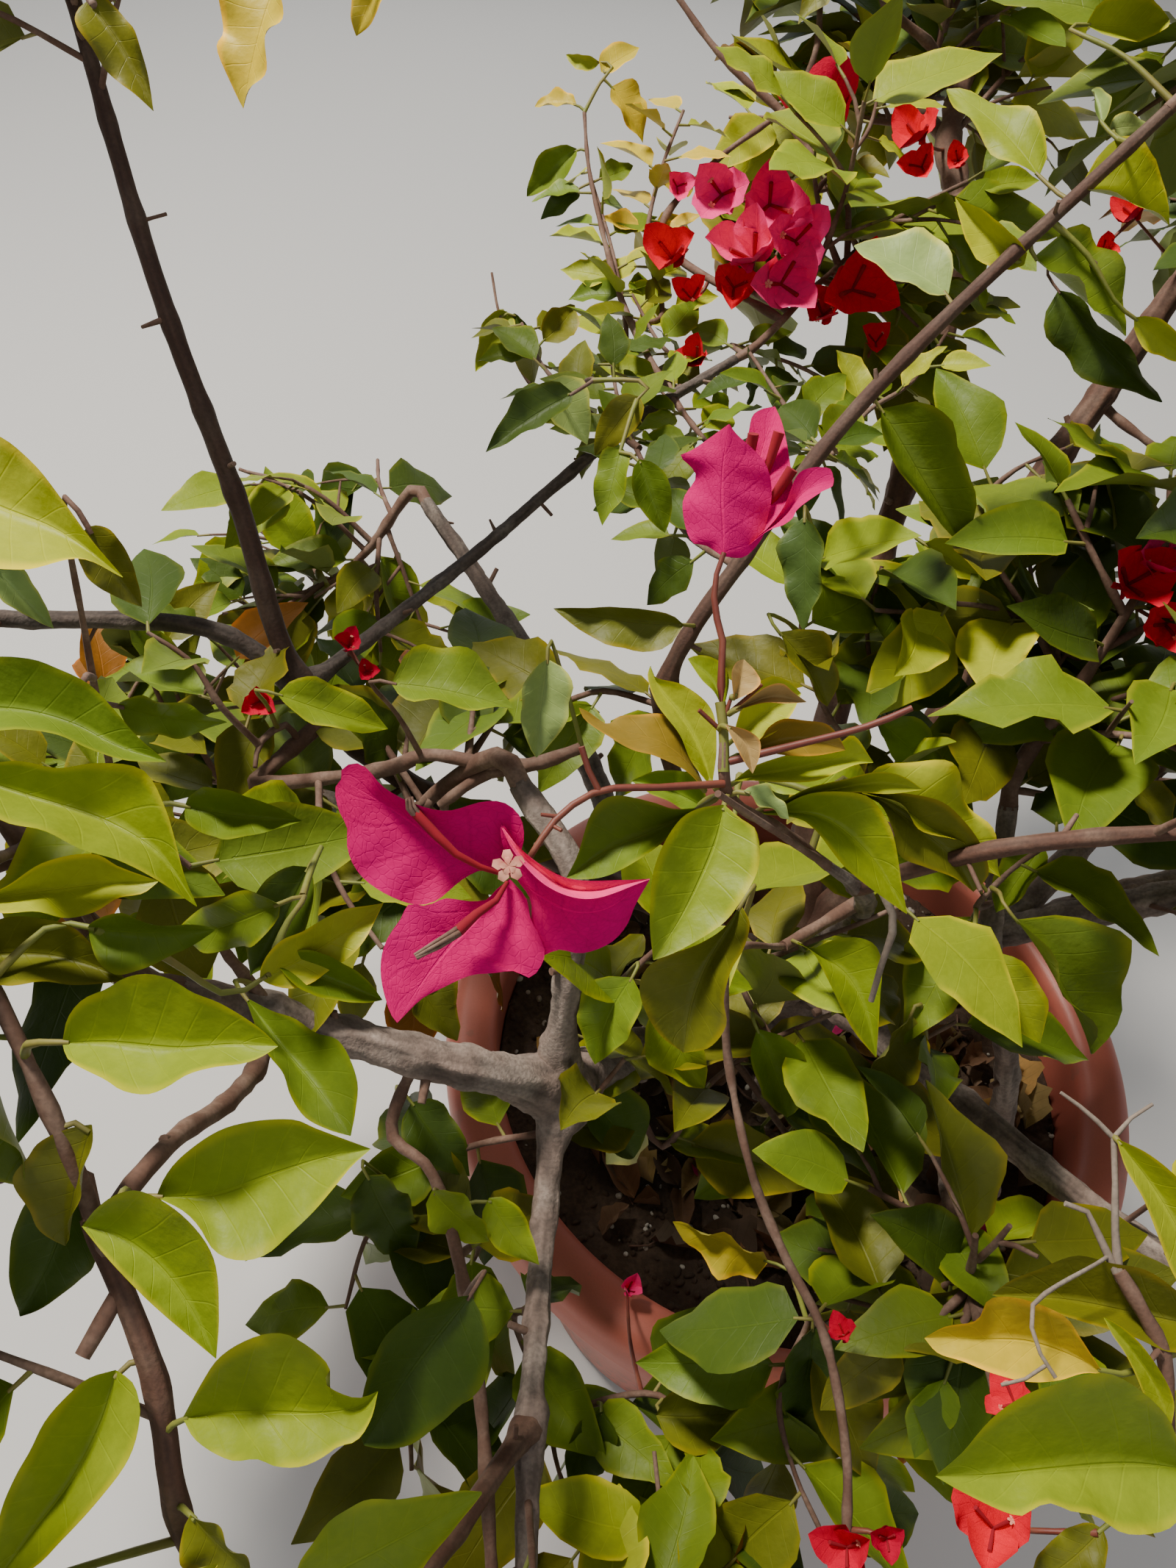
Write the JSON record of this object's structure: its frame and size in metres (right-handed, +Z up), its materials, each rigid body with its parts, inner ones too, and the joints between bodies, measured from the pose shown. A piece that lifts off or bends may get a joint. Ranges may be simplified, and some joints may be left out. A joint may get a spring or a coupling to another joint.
{
  "type": "bougainvillea bush",
  "caption": "Loose, spreading flowering shrub with arching woody stems, leafy shoots and papery bracts, growing in a broad-lipped tapered planter filled with soil.",
  "frame": {"origin": "centre of the planter's flat underside, on the surface that it stands on", "axes": "+Z up; -Y is the front of the bush, where its crown slopes down over the planter's lip; +X is to the right seen from the front"},
  "size_m": [0.9355, 0.8999, 0.8394],
  "materials": {
    "planter": "satin terracotta-coloured plastic",
    "soil": "moist dark soil with dry leaf litter",
    "old_bark": "grey-brown furrowed bark",
    "cane_bark": "dark red-brown ridged bark",
    "leaf": "thin satin leaves, yellow-green with paler margins",
    "bract": "thin papery magenta bracts with a fine net of veins"
  },
  "bodies": {
    "root": {"planter": "planter", "soil": "soil", "main_trunk": "old_bark", "right_stem": "old_bark", "knot_bough": "old_bark", "left_bough": "old_bark", "front_bough": "old_bark", "inner_bough": "old_bark", "centre_bough": "old_bark", "left_cane": "cane_bark", "crossing_cane": "old_bark", "left_branch": "old_bark", "rising_cane": "cane_bark", "back_right_bough": "cane_bark", "back_bough": "cane_bark", "right_bough": "old_bark", "front_right_bough": "old_bark", "right_cane": "cane_bark", "left_front_cane": "cane_bark", "back_left_bough": "old_bark", "right_back_bough": "old_bark", "low_front_bough": "old_bark", "left_low_bough": "old_bark", "right_low_bough": "old_bark", "front_spray_leaves": "leaf", "left_front_leaves": "leaf", "left_near_leaves": "leaf", "left_leaves": "leaf", "front_low_leaves": "leaf", "left_inner_leaves": "leaf", "left_top_leaves": "leaf", "back_centre_leaves": "bract", "top_leaves": "leaf", "back_right_leaves": "bract", "back_leaves": "leaf", "centre_right_leaves": "leaf", "right_leaves": "leaf", "front_right_leaves": "leaf", "right_top_leaves": "leaf", "back_left_leaves": "leaf", "right_back_leaves": "leaf", "pot_front_leaves": "leaf", "left_low_leaves": "leaf", "right_low_leaves": "leaf"}
  },
  "joints": []
}
